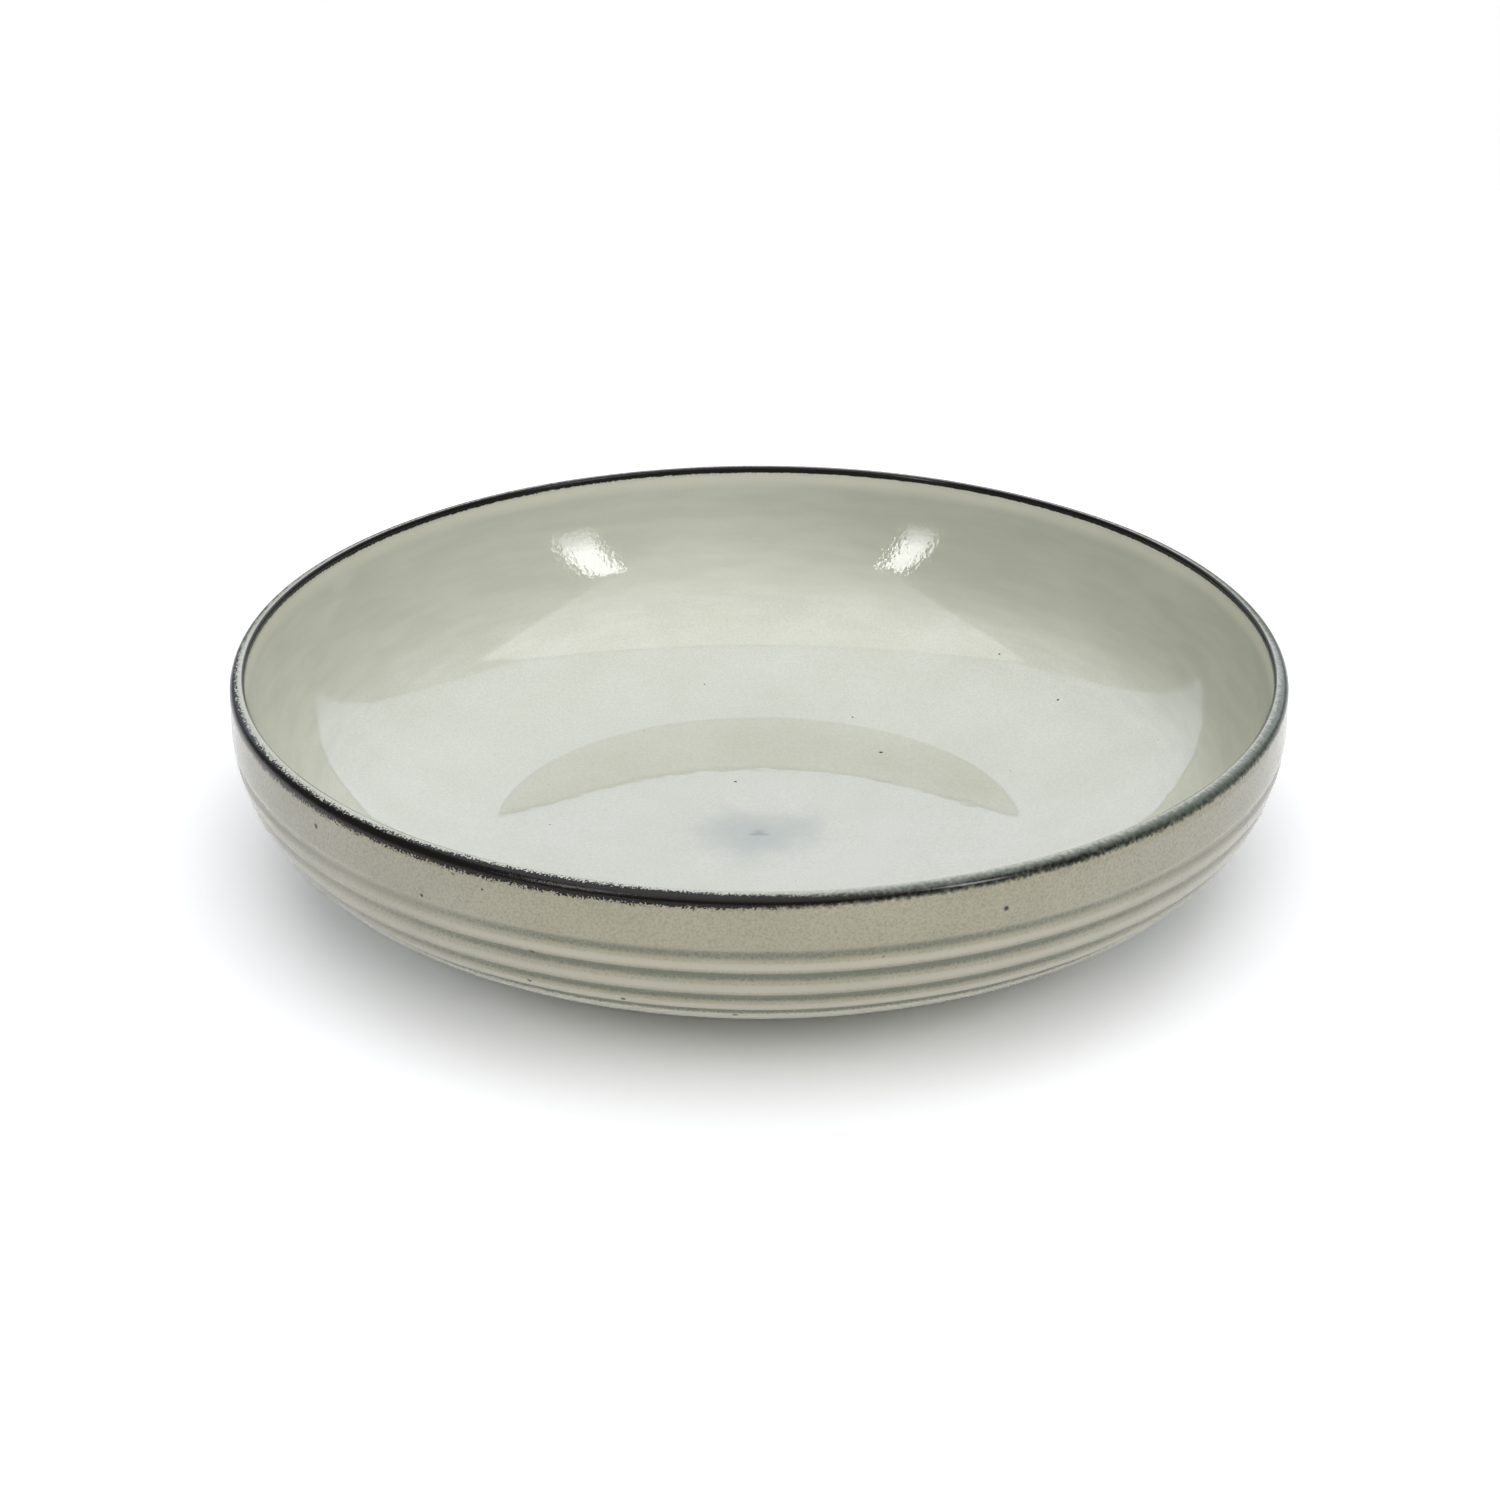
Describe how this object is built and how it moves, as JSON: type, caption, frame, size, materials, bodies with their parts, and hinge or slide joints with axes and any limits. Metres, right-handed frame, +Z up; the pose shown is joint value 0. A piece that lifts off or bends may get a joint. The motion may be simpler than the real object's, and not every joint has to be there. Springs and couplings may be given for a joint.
{
  "type": "serving bowl",
  "caption": "Wide, low round serving bowl in celadon-glazed stoneware with a dark lip, throwing grooves round the outer wall and a turned foot ring, for holding and serving food.",
  "frame": {"origin": "centre of the foot ring's resting face, at the height of the table", "axes": "+Z up along the turning axis; +X to the right and -Y to the front as pictured"},
  "size_m": [0.3, 0.3, 0.065],
  "materials": {
    "fired_stoneware": "bare fired clay, matt and slightly sandy",
    "celadon_inside": "glossy pale grey-green celadon glaze with fine iron specks",
    "celadon_outside": "satin-gloss grey-beige celadon glaze, darker where it pools in the grooves",
    "iron_glaze": "glossy black-brown iron glaze"
  },
  "bodies": {
    "root": {"stoneware_body": "fired_stoneware", "inner_glaze": "celadon_inside", "outer_glaze": "celadon_outside", "rim_band": "iron_glaze", "recess_glaze": "celadon_outside"}
  },
  "joints": []
}
